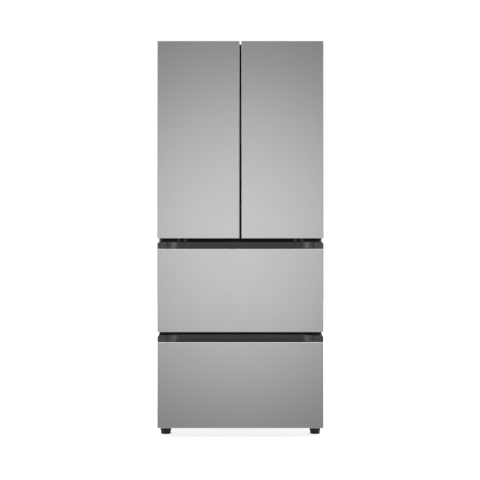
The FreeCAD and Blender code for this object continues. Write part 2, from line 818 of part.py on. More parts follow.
def liner(label, x, z, back):
    """Vacuum-formed compartment, open at the front, with rounded inner corners."""
    body = new_body(f"{label}_body")
    outer_y = ("behind_trim_y", f"{back} + liner_wall")
    pad(body, f"{label}_block", "XZ", outer_y, [rectangle(widen(x, "liner_wall"), widen(z, "liner_wall"))])
    pocket(body, f"{label}_hollow", "XZ", ("behind_trim_y", back), [rectangle(x, z)])

    def corner(edge):
        return runs(edge, "y") and any(lies(edge, x=side, z=level) for side in x for level in z)

    soften(body, f"{label}_corners", "liner_radius", corner)
    return body


def compartments():
    upper_x, upper_z = ("-opening_half", "-partition_half"), ("upper_low_z", "upper_high_z")
    upper = liner("left_liner", upper_x, upper_z, "liner_back_y")
    rib_y = ("shelf_front_y - shelf_trim_depth", "shelf_back_y")
    shelves = []
    for tier in range(1, int(number("shelf_count")) + 1):
        level = f"upper_low_z + {tier} * shelf_tier"
        rib_z = (f"{level} - shelf_rib_height", level)
        ends = [rectangle((upper_x[0], f"{upper_x[0]} + shelf_rib_width"), rib_z),
                rectangle((f"{upper_x[1]} - shelf_rib_width", upper_x[1]), rib_z)]
        pad(upper, f"left_liner_ribs_{tier}", "XZ", rib_y, ends)
        shelf = new_body(f"left_shelf_{tier}")
        shelf_x, shelf_y = narrow(upper_x, "shelf_side_clearance"), ("shelf_front_y", "shelf_back_y")
        pad(shelf, f"left_shelf_{tier}_glass", "XY", (level, f"{level} + shelf_glass"),
            [rectangle(shelf_x, shelf_y)])
        trim_x = narrow(shelf_x, "shelf_rib_width + 2 * shelf_side_clearance")
        trim_y = ("shelf_front_y", "shelf_front_y + shelf_trim_depth")
        trim_z = (f"{level} + shelf_glass - shelf_trim_height", level)
        pad(shelf, f"left_shelf_{tier}_trim", "XY", trim_z, [rectangle(trim_x, trim_y)])
        shelves += [shelf, mirror(f"right_shelf_{tier}", shelf)]
    node(upper, "left_liner")
    node(mirror("right_liner", upper), "right_liner")
    node(group("upper_shelves", *shelves), "upper_shelves")
    wide_x = ("-opening_half", "opening_half")
    node(liner("middle_liner", wide_x, ("middle_low_z", "middle_high_z"), "liner_back_y"), "middle_liner")
    node(liner("lower_liner", wide_x, ("lower_low_z", "lower_high_z"), "lower_back_y"), "lower_liner")

    # Cold plates against the backs of the liners, each with raised refrigerant channels.
    spots = {
        "left": (upper_x, upper_z, "liner_back_y"),
        "right": (("partition_half", "opening_half"), upper_z, "liner_back_y"),
        "middle": (wide_x, ("middle_low_z", "middle_high_z"), "liner_back_y"),
        "lower": (wide_x, ("lower_low_z", "lower_high_z"), "lower_back_y"),
    }
    plates = []
    for name, (x, z, back) in spots.items():
        plate = new_body(f"{name}_evaporator")
        plate_x, plate_z = narrow(x, "evaporator_inset"), narrow(z, "evaporator_inset")
        face = f"{back} + liner_wall"
        plate_y = (face, f"{face} + evaporator_plate")
        pad(plate, f"{name}_cold_sheet", "XZ", plate_y, [rectangle(plate_x, plate_z)])
        gap = f"(({plate_z[1]}) - ({plate_z[0]})) / evaporator_runs"
        middle = f"{plate_z[0]} + {gap} / 2"
        run_z = (f"{middle} - evaporator_tube", f"{middle} + evaporator_tube")
        run = pad(plate, f"{name}_channel", "XZ", (plate_y[1], f"{plate_y[1]} + evaporator_tube"),
                  [rectangle(narrow(plate_x, "evaporator_tube"), run_z)])
        repeat(plate, f"{name}_channels", [run], "Z", gap, "evaporator_runs")
        plates.append(plate)
    node(group("evaporator_plates", *plates), "evaporator_plates")
    return spots


def trims():
    """Folded steel strips that close the cabinet front between the openings."""

    def section(low, high):
        back, deep = "behind_trim_y", "cabinet_y + trim_return"
        low_in, high_in = f"{low} + trim_gap", f"{high} - trim_gap"
        low_leg, high_leg = f"{low_in} + shell_wall", f"{high_in} - shell_wall"
        return [("cabinet_y", low), (back, low), (back, low_in), (deep, low_in), (deep, low_leg),
                (back, low_leg), (back, high_leg), (deep, high_leg), (deep, high_in), (back, high_in),
                (back, high), ("cabinet_y", high)]

    for label, low, high in (("upper_rail", "middle_high_z", "upper_low_z"),
                             ("lower_rail", "lower_high_z", "middle_low_z")):
        rail = new_body(f"{label}_body")
        pad(rail, f"{label}_strip", "YZ", ("-opening_half", "opening_half"), [section(low, high)])
        node(rail, label)
    mullion = new_body("center_mullion_body")
    strip = [(x, y) for y, x in section("-partition_half", "partition_half")]
    pad(mullion, "center_mullion_strip", "XY", ("upper_low_z", "upper_high_z"), [strip])
    node(mullion, "center_mullion")
    touch = new_body("control_panel_body")
    touch_z = ("upper_high_z - panel_drop - panel_length", "upper_high_z - panel_drop")
    touch_y = ("cabinet_y - panel_wall", "cabinet_y")
    pad(touch, "touch_strip", "XZ", touch_y, [rectangle(("-panel_width / 2", "panel_width / 2"), touch_z)])
    soften(touch, "touch_strip_ends", "panel_corner", lambda edge: runs(edge, "y"), "PartDesign::Chamfer")
    node(touch, "control_panel")


def insulation(spots):
    """Foam that fills the walls around the liners, the machine room and the foot sockets."""
    body = new_body("cabinet_foam_block")
    side, top, low = "shell_half", "cabinet_top_z - shell_wall", "base_clearance + shell_wall"
    inset = f"({side} - foam_corner)"
    shoulder = f"{top} - foam_corner"
    outline = [(f"-{side}", low), (side, low), (side, shoulder), (inset, top), (f"-{inset}", top),
               (f"-{side}", shoulder)]
    front = "cabinet_y + foam_setback"
    pad(body, "cabinet_foam_fill", "XZ", (front, "rear_sheet_y"), [outline])
    hollows = [
        box(f"{name}_space", widen(x, "liner_wall"), ("cabinet_y", f"{back} + liner_wall + evaporator_depth"),
            widen(z, "liner_wall"))
        for name, (x, z, back) in spots.items()
    ]
    hollows.append(box("machine_space", ("-cabinet_half", "cabinet_half"),
                       ("machine_y - shell_wall", "cabinet_back_y"), ("floor_gap", "machine_top_z")))
    foot_z = ("floor_gap", "base_clearance + shell_wall + foot_boss_height + foot_pocket_room")
    socket = box("left_foot_space", ("-foot_x - foot_pocket_half", "-foot_x + foot_pocket_half"),
                 ("cabinet_y", "foot_y + foot_pocket_half"), foot_z)
    hollows += [socket, mirror("right_foot_space", socket)]
    node(cut("cabinet_foam", body, *hollows), "cabinet_foam")


def base():
    frame = new_body("base_frame_sheet")
    wall, low, top = "shell_wall", "base_clearance", "machine_top_z"
    floor, roof, step = f"{low} + {wall}", f"{top} - {wall}", f"machine_y - {wall}"
    fold = [("cabinet_y", "lower_low_z"), ("cabinet_y", low), ("machine_y", low), ("machine_y", roof),
            ("rear_sheet_y", roof), ("rear_sheet_y", top), (step, top), (step, floor),
            ("behind_trim_y", floor), ("behind_trim_y", "lower_low_z")]
    pad(frame, "base_fold", "YZ", ("-shell_half", "shell_half"), [fold])
    feet = [("-foot_x", "foot_y"), ("foot_x", "foot_y")]
    bores = [(centre, "foot_stem_radius + foot_clearance") for centre in feet]
    bosses = [rectangle(widen((x, x), "foot_boss_half"), widen((y, y), "foot_boss_half")) for x, y in feet]
    boss_top = f"{floor} + foot_boss_height"
    pad(frame, "foot_bosses", "XY", (floor, boss_top), bosses)
    pocket(frame, "foot_bores", "XY", (low, boss_top), circles=bores)
    node(frame, "base_frame")

    # Feet have many-sided pads and collars to grasp, and turn on their threaded stems.
    stem_z = "foot_pad_height + foot_collar_height"
    stem_top = f"{stem_z} + foot_stem_length"
    half, bore = "roller_width / 2", "roller_axle_radius + roller_clearance"
    wheel = [(bore, f"-({half})"), ("roller_radius", f"-({half})"), ("roller_radius", half), (bore, half)]
    for name, sign in (("left", "-"), ("right", "")):
        foot = new_body(f"{name}_foot_body")
        pad(foot, f"{name}_foot_pad_block", "XY", ("0", "foot_pad_height"), [many_sided("foot_pad_radius")])
        pad(foot, f"{name}_foot_collar", "XY", ("foot_pad_height", stem_z), [many_sided("foot_radius")])
        pad(foot, f"{name}_foot_stem", "XY", (stem_z, stem_top), circles=[(("0", "0"), "foot_stem_radius")])
        node(stand(foot, f"{sign}foot_x", "foot_y", "0"), f"{name}_foot")
        roller = new_body(f"{name}_roller_body")
        revolve(roller, f"{name}_roller_turning", wheel)
        node(stand(roller, f"{sign}roller_x", "roller_y", "roller_radius", True), f"{name}_roller")

    # Machine-room tray with the ears and pins that carry the rear rollers.
    tray = new_body("compressor_tray_sheet")
    tray_y = ("machine_y - tray_overlap", "rear_sheet_y")
    pad(tray, "tray_floor", "XY", (f"{low} - tray_wall", low),
        [rectangle(("-shell_half", "shell_half"), tray_y)])
    ear_y = ("roller_y - roller_ear_half", "roller_y + roller_ear_half")
    ear_z = ("roller_radius - roller_ear_half", f"{low} - tray_wall")
    inner, outer = f"{half} + roller_side_gap", f"{half} + roller_side_gap + roller_ear_wall"
    for name, sign in (("left", "-"), ("right", "")):
        wheel_x = f"{sign}roller_x"
        ears = [rectangle((f"{wheel_x} - ({outer})", f"{wheel_x} - ({inner})"), ear_y),
                rectangle((f"{wheel_x} + {inner}", f"{wheel_x} + {outer}"), ear_y)]
        pad(tray, f"{name}_ears", "XY", ear_z, ears)
        pad(tray, f"{name}_roller_pin", "YZ", widen((wheel_x, wheel_x), inner),
            circles=[(("roller_y", "roller_radius"), "roller_axle_radius")])
    node(tray, "compressor_tray")


def machine():
    floor = "tray_top_z"
    # Sealed compressor, two cans lapped at a seam, on four rubber blocks.
    place = ("-compressor_place", "coil_y", f"{floor} + mount_height")
    can = new_body("compressor_can")
    base_z, top = "compressor_plate", "compressor_plate + compressor_height"
    seam, cap = f"{base_z} + compressor_seam", "compressor_radius - compressor_lap"
    outline = [("0", base_z), ("compressor_radius", base_z), ("compressor_radius", seam), (cap, seam),
               (cap, top), ("0", top)]
    revolve(can, "compressor_turning", outline)
    side = ("-compressor_plate_half", "compressor_plate_half")
    pad(can, "compressor_foot_plate", "XY", ("0", "compressor_plate"), [rectangle(side, side)])
    node(stand(can, *place), "compressor")
    corners = [(a, b) for a in ("-mount_offset", "mount_offset") for b in ("-mount_offset", "mount_offset")]
    mounts = []
    for index, (a, b) in enumerate(corners):
        x, y = f"-compressor_place + ({a})", f"coil_y + ({b})"
        mounts.append(box(f"mount_{index}", widen((x, x), "mount_half"), widen((y, y), "mount_half"),
                          (floor, f"{floor} + mount_height")))
    node(group("compressor_mounts", *mounts), "compressor_mounts")

    # Condenser: flat multi-port tubes between two upright headers that stand on the tray.
    coil = new_body("condenser_body")
    header_y = ("coil_y - coil_header / 2", "coil_y + coil_header / 2")
    coil_right = "coil_left + coil_length"
    headers = [rectangle(("coil_left", "coil_left + coil_header"), header_y),
               rectangle((f"{coil_right} - coil_header", coil_right), header_y)]
    coil_low = f"{floor} + coil_lift"
    coil_top = f"{coil_low} + coil_runs * coil_spacing"
    pad(coil, "condenser_headers", "XY", (floor, coil_top), headers)
    tube_y = ("coil_y - coil_depth / 2", "coil_y + coil_depth / 2")
    tube_x = ("coil_left + coil_header", f"{coil_right} - coil_header")
    tube_z = (coil_low, f"{coil_low} + coil_wall")
    tube = pad(coil, "condenser_tube", "XY", tube_z, [rectangle(tube_x, tube_y)])
    repeat(coil, "condenser_tubes", [tube], "Z", "coil_spacing", "coil_runs")
    node(coil, "condenser")

    pan = new_body("drain_pan_body")
    pan_x = narrow(tube_x, "coil_pan_gap")
    pan_y = ("machine_y + pan_margin", "rear_sheet_y - pan_margin")
    pad(pan, "drain_pan_block", "XY", (floor, f"{floor} + pan_height"), [rectangle(pan_x, pan_y)])
    pocket(pan, "drain_pan_hollow", "XY", (f"{floor} + pan_wall", f"{floor} + pan_height"),
           [rectangle(narrow(pan_x, "pan_wall"), narrow(pan_y, "pan_wall"))])
    node(pan, "drain_pan")

    # Fan shroud with a round mouth, a bar across it and the motor with its shaft.
    shroud = new_body("fan_shroud_body")
    axis, hole = ("fan_y", "fan_z"), "fan_radius + fan_tip_gap"
    face = ("fan_place", "fan_place + shroud_wall")
    plate = rectangle(("machine_y", "rear_sheet_y"), (floor, f"fan_z + {hole} + shroud_margin"))
    pad(shroud, "shroud_plate", "YZ", face, [plate], [(axis, hole)])
    bar = rectangle(widen(("fan_y", "fan_y"), "motor_bar_half"),
                    widen(("fan_z", "fan_z"), f"{hole} + motor_bar_overlap"))
    pad(shroud, "motor_bar", "YZ", ("fan_place - shroud_wall", "fan_place"), [bar])
    pad(shroud, "motor_case", "YZ", ("fan_place - shroud_wall - motor_length", "fan_place - shroud_wall"),
        [rectangle(*(widen((place, place), "motor_half") for place in axis))])
    pad(shroud, "motor_shaft", "YZ", ("fan_place", "fan_place + fan_gap + fan_hub_length"),
        circles=[(axis, "fan_shaft_radius")])
    node(shroud, "fan_shroud")

    fan = new_body("condenser_fan_body")
    zero = ("0", "0")
    pad(fan, "fan_hub", "YZ", ("0", "fan_hub_length"), circles=[(zero, "fan_hub_radius")])
    root, tip = "fan_hub_radius - fan_blade_sink", "fan_radius - fan_blade_drop"
    blade = [("-fan_blade_root", root), ("fan_blade_root", root), ("fan_blade_lead", tip),
             ("-fan_blade_trail", tip)]
    outline = sketch_on(fan, "fan_blade_outline", "XZ", "0", [blade])
    outline.AttachmentOffset.Rotation = FreeCAD.Rotation(FreeCAD.Vector(0, 1, 0), number("fan_blade_turn"))
    outline.setExpression("AttachmentOffset.Base.x", formula("fan_hub_length / 2"))
    feature = fan.newObject("PartDesign::Pad", "fan_blade")
    feature.Profile = outline
    feature.Midplane = True
    feature.setExpression("Length", formula("fan_blade_wall"))
    finish_feature(fan, feature)
    line = [f for f in fan.Origin.OriginFeatures if f.Role == "X_Axis"][0]
    blades = fan.newObject("PartDesign::PolarPattern", "fan_blades")
    blades.Originals = [feature]
    blades.Axis = (line, [""])
    blades.Angle = 360
    blades.setExpression("Occurrences", formula("fan_blade_count"))
    finish_feature(fan, blades)
    bore = [(zero, "fan_shaft_radius + pin_clearance")]
    pocket(fan, "fan_bore", "YZ", ("0", "fan_hub_length"), circles=bore)
    node(stand(fan, "fan_place + fan_gap", "fan_y", "fan_z"), "condenser_fan")

    # Louvred cover with the bush where the cord leaves.
    cover = new_body("machine_cover_body")
    cover_y = ("rear_sheet_y", "cabinet_back_y")
    sheet_z = ("base_clearance", "machine_top_z")
    pad(cover, "cover_sheet", "XZ", cover_y, [rectangle(("-shell_half", "shell_half"), sheet_z)])
    gland = ("-(shell_half - gland_rise)", "base_clearance + gland_rise")

    def bush_side(half):
        return rectangle(*(widen((place, place), half) for place in gland))

    pocket(cover, "cover_gland_hole", "XZ", cover_y, [bush_side("gland_neck")])
    slot_z = ("machine_top_z - louvre_drop", "machine_top_z - louvre_drop + louvre_width")
    columns = int(number("louvre_columns"))
    slots = []
    for column in range(columns):
        middle = f"(2 * {column} + 1 - louvre_columns) * (shell_half - louvre_margin) / louvre_columns"
        slots.append(rectangle((f"{middle} - louvre_length / 2", f"{middle} + louvre_length / 2"), slot_z))
    slot = pocket(cover, "cover_slot", "XZ", cover_y, slots)
    rows = repeat(cover, "cover_slots", [slot], "Z", "louvre_spacing", "louvre_rows")
    rows.Reversed = True
    finish_feature(cover, rows)
    node(cover, "machine_cover")
    bush = new_body("cord_gland_body")
    pad(bush, "gland_neck_block", "XZ", cover_y, [bush_side("gland_neck"), bush_side("gland_hole")])
    pad(bush, "gland_flange_block", "XZ", ("cabinet_back_y", "cabinet_back_y + gland_flange"),
        [bush_side("gland_half"), bush_side("gland_hole")])
    node(bush, "cord_gland")


def hinges():
    arm_x = ("-hinge_x - hinge_arm_half", "-hinge_x + hinge_arm_half")
    arm_front = "hinge_y - hinge_arm_half"
    axis = ("-hinge_x", "hinge_y")
    pad_x = (arm_x[0], f"{arm_x[0]} + hinge_pad_width")
    pad_back = "cabinet_y + hinge_pad_length"
    plate_z = ("cabinet_top_z", "cabinet_top_z + hinge_plate")

    top = new_body("left_top_hinge")
    outline = [(arm_x[0], arm_front), (arm_x[1], arm_front), (arm_x[1], "cabinet_y"), (pad_x[1], "cabinet_y"),
               (pad_x[1], pad_back), (arm_x[0], pad_back)]
    pad(top, "top_hinge_plate", "XY", plate_z, [outline])
    soften(top, "top_hinge_corners", "hinge_corner",
           lambda edge: runs(edge, "z") and not lies(edge, x=arm_x[1], y="cabinet_y"), "PartDesign::Chamfer")
    pin_z = ("door_top_z - pin_length", "cabinet_top_z")
    pad(top, "top_hinge_pin", "XY", pin_z, circles=[(axis, "pin_radius")])
    left_and_right("top_hinges", top)

    cover_x = widen(pad_x, "hinge_cover_margin")
    cover_y = ("cabinet_y - hinge_cover_margin", f"{pad_back} + hinge_cover_margin")
    solids = []
    for name, inset in (("outside", "0"), ("inside", "hinge_cover_wall")):
        block = new_body(f"left_hinge_cover_{name}")
        high = f"cabinet_top_z + hinge_cover_height - {inset}"
        pad(block, f"hinge_cover_{name}_block", "XY", ("cabinet_top_z", high),
            [rectangle(narrow(cover_x, inset), narrow(cover_y, inset))])
        soften(block, f"hinge_cover_{name}_corners", "hinge_cover_corner", lambda edge: runs(edge, "z"),
               "PartDesign::Chamfer")
        soften(block, f"hinge_cover_{name}_crown", "hinge_cover_crown", lambda edge: lies(edge, z=high),
               "PartDesign::Chamfer")
        solids.append(block)
    notch_y = ("hinge_y", "cabinet_y + hinge_cover_margin")
    notch = box("hinge_cover_notch", widen(arm_x, "hinge_notch_gap"), notch_y,
                ("cabinet_top_z", "cabinet_top_z + hinge_plate + hinge_notch_gap"))
    left_and_right("hinge_covers", cut("left_hinge_cover", *solids, notch))

    middle = new_body("left_mid_hinge")
    flange_x = (arm_x[0], f"{arm_x[0]} + mid_flange_length")
    arm_top = "door_z - mid_arm_gap"
    arm_z = (f"{arm_top} - hinge_plate", arm_top)
    flange_z = (f"{arm_top} - mid_flange_height", arm_top)
    flange_y = ("cabinet_y - hinge_plate", "cabinet_y")
    pad(middle, "mid_hinge_flange", "XZ", flange_y, [rectangle(flange_x, flange_z)])
    pad(middle, "mid_hinge_arm", "XY", arm_z, [rectangle(arm_x, (arm_front, "cabinet_y - hinge_plate"))])
    soften(middle, "mid_hinge_corners", "hinge_corner",
           lambda edge: runs(edge, "z") and lies(edge, y=arm_front), "PartDesign::Chamfer")
    pad(middle, "mid_hinge_pin", "XY", (arm_top, "door_z + pin_length"), circles=[(axis, "pin_radius")])
    left_and_right("mid_hinges", middle)


cabinet()
insulation(compartments())
trims()
base()
machine()
hinges()

# Every object must have built, then each sub-part is written in its place.
doc.recompute()
for thing in doc.Objects:
    if "Invalid" in thing.State or "Error" in thing.State:
        raise RuntimeError(f"{thing.Label} did not build")
os.makedirs("parts", exist_ok=True)
for thing in NODES:
    shape = thing.Shape
    if shape.isNull() or not shape.isValid():
        raise RuntimeError(f"{thing.Label} has no valid shape")
    shape.exportStep(f"parts/{thing.Label}.step")
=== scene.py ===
"""Looks of a stand-type kimchi refrigerator: two upper doors over two pull-out drawers."""

import math
import bmesh
import bpy
from mathutils import Matrix, Vector


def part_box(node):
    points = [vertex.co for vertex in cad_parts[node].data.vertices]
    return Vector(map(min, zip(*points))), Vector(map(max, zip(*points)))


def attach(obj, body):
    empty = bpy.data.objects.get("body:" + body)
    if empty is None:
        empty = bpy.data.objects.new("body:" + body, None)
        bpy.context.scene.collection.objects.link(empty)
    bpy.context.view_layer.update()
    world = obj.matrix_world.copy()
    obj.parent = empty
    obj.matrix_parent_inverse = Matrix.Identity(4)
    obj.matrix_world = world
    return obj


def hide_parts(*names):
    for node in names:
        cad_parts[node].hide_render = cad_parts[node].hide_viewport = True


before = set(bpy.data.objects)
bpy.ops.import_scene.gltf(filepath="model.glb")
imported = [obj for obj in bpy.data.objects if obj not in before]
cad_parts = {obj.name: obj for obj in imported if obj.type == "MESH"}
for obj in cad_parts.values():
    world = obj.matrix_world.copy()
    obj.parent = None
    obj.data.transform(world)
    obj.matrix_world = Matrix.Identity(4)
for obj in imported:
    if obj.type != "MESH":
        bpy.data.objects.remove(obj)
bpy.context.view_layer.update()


# Cabinet: one steel sheet folded over the top and down both sides, in silver metallic paint.
# Its front edges are turned in as flanges, and the foam holds the liners against them.
class Wire:
    """An output in the nodes of a finish. Sums on wires become nodes of their own."""

    def __init__(self, tree, socket=None):
        self.tree = tree
        self.socket = socket

    def add(self, kind, settings=None, sockets=None, output=0):
        """Adds a node: its type, its settings, then the values or wires of its sockets."""
        made = self.tree.nodes.new(kind)
        for name, value in (settings or {}).items():
            if name == "stops":
                ramp = made.color_ramp.elements
                ramp.remove(ramp[1])
                ramp[0].position, ramp[0].color = value[0]
                for position, colour in value[1:]:
                    ramp.new(position).color = colour
            else:
                setattr(made, name, value)
        for name, value in (sockets or {}).items():
            if isinstance(value, Wire):
                self.tree.links.new(value.socket, made.inputs[name])
            else:
                made.inputs[name].default_value = value
        return Wire(self.tree, made.outputs[output] if len(made.outputs) else None)

    def sums(self, operation, first, second):
        return self.add("ShaderNodeMath", {"operation": operation}, {0: first, 1: second})

    def __add__(self, other):
        return self.sums("ADD", self, other)

    def __sub__(self, other):
        return self.sums("SUBTRACT", self, other)

    def __rsub__(self, other):
        return self.sums("SUBTRACT", other, self)

    def __mul__(self, other):
        return self.sums("MULTIPLY", self, other)

    def __lt__(self, other):
        return self.sums("LESS_THAN", self, other)

    def __gt__(self, other):
        return self.sums("GREATER_THAN", self, other)

    __radd__ = __add__
    __rmul__ = __mul__

    def between(self, low, high):
        """The colour that lies this share of the way from one colour to another."""
        return self.add("ShaderNodeMix", {"data_type": "RGBA"}, {0: self, 6: low, 7: high}, 2)

    def noise(self, scale, detail, stretch=(1.0, 1.0, 1.0)):
        """Soft random shade over this place, finer along the axes with more stretch."""
        spread = self.add("ShaderNodeMapping", {}, {"Vector": self, "Scale": stretch})
        return self.add("ShaderNodeTexNoise", {}, {"Vector": spread, "Scale": scale, "Detail": detail})

    def bump(self, depth, strength):
        """A surface raised by this share of a depth in metres."""
        return self.add("ShaderNodeBump", {}, {"Height": self, "Distance": depth, "Strength": strength})


def empty_nodes(owner):
    """Clears the nodes of a material or a world and gives a wire to add new ones by."""
    owner.use_nodes = True
    owner.node_tree.nodes.clear()
    return Wire(owner.node_tree)


def finish(name, recipe):
    """A material from a recipe, which gives the sockets of one surface shader."""
    made = bpy.data.materials.new(name)
    place = empty_nodes(made).add("ShaderNodeTexCoord", output="Object")
    shader = place.add("ShaderNodeBsdfPrincipled", {}, recipe(place))
    place.add("ShaderNodeOutputMaterial", {}, {"Surface": shader})
    return made


def dress(material, *nodes):
    """Gives CAD nodes a finish."""
    for name in nodes:
        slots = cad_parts[name].data.materials
        slots.clear()
        slots.append(material)


def silver_paint(place):
    flake = place.noise(1400.0, 1.0)
    cloud = place.noise(2.5, 3.0)
    orange_peel = place.noise(260.0, 2.0)
    shade = flake * 0.5 + cloud * 0.5
    return {
        "Base Color": shade.between((0.36, 0.364, 0.37, 1), (0.46, 0.464, 0.47, 1)),
        "Metallic": 0.25,
        "Roughness": 0.36 + cloud * 0.08,
        "Coat Weight": 0.15,
        "Coat Roughness": 0.15,
        "Normal": orange_peel.bump(0.00004, 0.5),
    }


dress(finish("cabinet_silver_paint", silver_paint), "outer_shell")


# Rear panel: a thin steel sheet with pressed beads that stiffen it, in plain grey paint.
# Washer-head screws along its edges hold it to the folded edges of the cabinet.
def block(shape, low, high):
    """Adds a box between two corners and gives its vertices."""
    size = [b - a for a, b in zip(low, high)]
    middle = [(a + b) / 2 for a, b in zip(low, high)]
    place = Matrix.Translation(middle) @ Matrix.Diagonal((*size, 1))
    return bmesh.ops.create_cube(shape, size=1, matrix=place)["verts"]


def edges_where(verts, test):
    """The edges among vertices whose two ends both pass a test."""
    found = {edge for vert in verts for edge in vert.link_edges}
    return [edge for edge in found if all(test(vert.co) for vert in edge.verts)]


def round_off(shape, edges, radius, segments):
    """Rounds edges to a radius."""
    bmesh.ops.bevel(shape, geom=edges, offset=radius, segments=segments, profile=0.5,
                    affect="EDGES", material=-1, clamp_overlap=True)


def piece(name, shape, body, slot, material, *nodes):
    """Makes a finished mesh a piece that rides on a body and may stand for CAD nodes."""
    mesh = bpy.data.meshes.new(name)
    shape.to_mesh(mesh)
    shape.free()
    mesh.materials.append(material)
    mesh.shade_smooth()
    mesh.set_sharp_from_angle(angle=math.radians(32))
    made = bpy.data.objects.new(name, mesh)
    bpy.context.scene.collection.objects.link(made)
    made.modifiers.new("flat_faces_stay_flat", "WEIGHTED_NORMAL").keep_sharp = True
    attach(made, body)
    if nodes:
        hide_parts(*nodes)


def screw(shape, place, turn):
    """A hexagon head on a washer, whose top looks along +Z before it is turned."""
    washer = {"segments": 24, "radius1": 0.0062, "radius2": 0.0056, "depth": 0.0012}
    head = {"segments": 6, "radius1": 0.0042, "radius2": 0.0040, "depth": 0.0026}
    for form, middle in ((washer, 0.0006), (head, 0.0024)):
        stand = Matrix.Translation(place) @ turn @ Matrix.Translation((0, 0, middle))
        bmesh.ops.create_cone(shape, cap_ends=True, matrix=stand, **form)


def edge_screws(low, high, face, rows, end_gap):
    """Screws that look back, in an upright row along the left and the right edge of a cover."""
    side_gap = 0.012
    face_back = Matrix.Rotation(math.radians(-90), 4, "X")
    step = (high.z - low.z - 2 * end_gap) / (rows - 1)
    shape = bmesh.new()
    for side in (-1, 1):
        for row in range(rows):
            screw(shape, (side * (high.x - side_gap), face, low.z + end_gap + row * step), face_back)
    return shape


def rear_paint(place):
    grain = place.noise(700.0, 3.0)
    cloud = place.noise(4.0, 3.0)
    return {
        "Base Color": (grain * 0.3 + cloud * 0.7).between((0.36, 0.37, 0.38, 1), (0.47, 0.48, 0.49, 1)),
        "Metallic": 0.2,
        "Roughness": 0.42 + cloud * 0.14,
        "Normal": grain.bump(0.00006, 0.6),
    }


def plated_steel(place):
    """Zinc plate, whose crystals show as faint patches that differ in shade and gloss."""
    crystal = place.add("ShaderNodeTexVoronoi", {}, {"Vector": place, "Scale": 85.0}, "Color")
    patch = crystal.add("ShaderNodeSeparateColor", {}, {"Color": crystal})
    cloud = place.noise(9.0, 4.0)
    shade = patch * 0.45 + cloud * 0.55
    return {
        "Base Color": shade.between((0.44, 0.45, 0.455, 1), (0.64, 0.65, 0.655, 1)),
        "Metallic": 0.9,
        "Roughness": 0.28 + shade * 0.2,
        "Normal": cloud.bump(0.0001, 0.3),
    }


rear_low, rear_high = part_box("rear_panel")
bead_rise, bead_round, bead_half, bead_spacing, bead_end = 0.004, 0.0039, 0.012, 0.15, 0.072
sheet_out = rear_high.y - bead_rise
bead_root = sheet_out - 0.0008
shape = bmesh.new()
block(shape, rear_low, (rear_high.x, sheet_out, rear_high.z))
for bead in range(-2, 3):
    middle = bead * bead_spacing
    verts = block(shape, (middle - bead_half, bead_root, rear_low.z + bead_end),
                  (middle + bead_half, rear_high.y, rear_high.z - bead_end))
    round_off(shape, edges_where(verts, lambda co: co.y > sheet_out), bead_round, 5)
rear_grey = finish("rear_grey_paint", rear_paint)
piece("rear_sheet", shape, "cabinet", "rear_steel", rear_grey, "rear_panel")
zinc = finish("zinc_plate", plated_steel)
rear_screws = edge_screws(rear_low, rear_high, sheet_out, rows=8, end_gap=0.05)
piece("rear_screws", rear_screws, "cabinet", "zinc_steel", zinc)


# Base: a folded zinc-plated sheet that steps up over the machine room, with sockets for the
# front feet, and the tray behind it whose ears and pins carry the rear rollers.
dress(zinc, "base_frame", "compressor_tray")


# Insulation: polyurethane foam, blown between the liners and the steel, and into each door and
# drawer front. It is only seen where a wall is open.
def foam_cells(place):
    cell = place.add("ShaderNodeTexVoronoi", {}, {"Vector": place, "Scale": 900.0})
    cloud = place.noise(14.0, 3.0)
    return {
        "Base Color": cloud.between((0.68, 0.58, 0.36, 1), (0.82, 0.73, 0.50, 1)),
        "Roughness": 0.86 + cloud * 0.1,
        "Normal": cell.bump(0.0006, 0.7),
    }


foam = finish("insulation_foam", foam_cells)
dress(foam, "cabinet_foam", "left_door_foam", "right_door_foam", "middle_drawer_foam", "lower_drawer_foam")


# Liners: white sheets of plastic, vacuum-formed with rounded corners and with ribs for the shelves.
# The same sheet backs the doors and drawer fronts, with a raised dike inside the seal.
def formed_plastic(place):
    peel = place.noise(420.0, 2.0)
    cloud = place.noise(3.0, 2.0)
    return {
        "Base Color": cloud.between((0.79, 0.80, 0.80, 1), (0.85, 0.855, 0.85, 1)),
        "Roughness": 0.24 + peel * 0.1,
        "Specular IOR Level": 0.45,
        "Normal": peel.bump(0.00005, 0.5),
    }


white = finish("white_formed_plastic", formed_plastic)
dress(white, "left_liner", "right_liner", "middle_liner", "lower_liner")
dress(white, "left_door_liner", "right_door_liner", "middle_drawer_liner", "lower_drawer_liner")


# Front trims: folded steel strips in black satin paint, clipped over the liner edges between the
# openings. A warm line behind them keeps frost off, and the seals close on their faces. Thin dark caps over
# the cabinet's folded edges, at the rail ends, the mid hinges and the top of the split, are painted shade:
# dark sheets where those edges lie in shade in the gaps.
def black_satin(place):
    peel = place.noise(520.0, 2.0)
    cloud = place.noise(6.0, 3.0)
    return {
        "Base Color": cloud.between((0.006, 0.006, 0.0065, 1), (0.011, 0.011, 0.0115, 1)),
        "Roughness": 0.46 + cloud * 0.12,
        "Normal": peel.bump(0.00005, 0.5),
    }


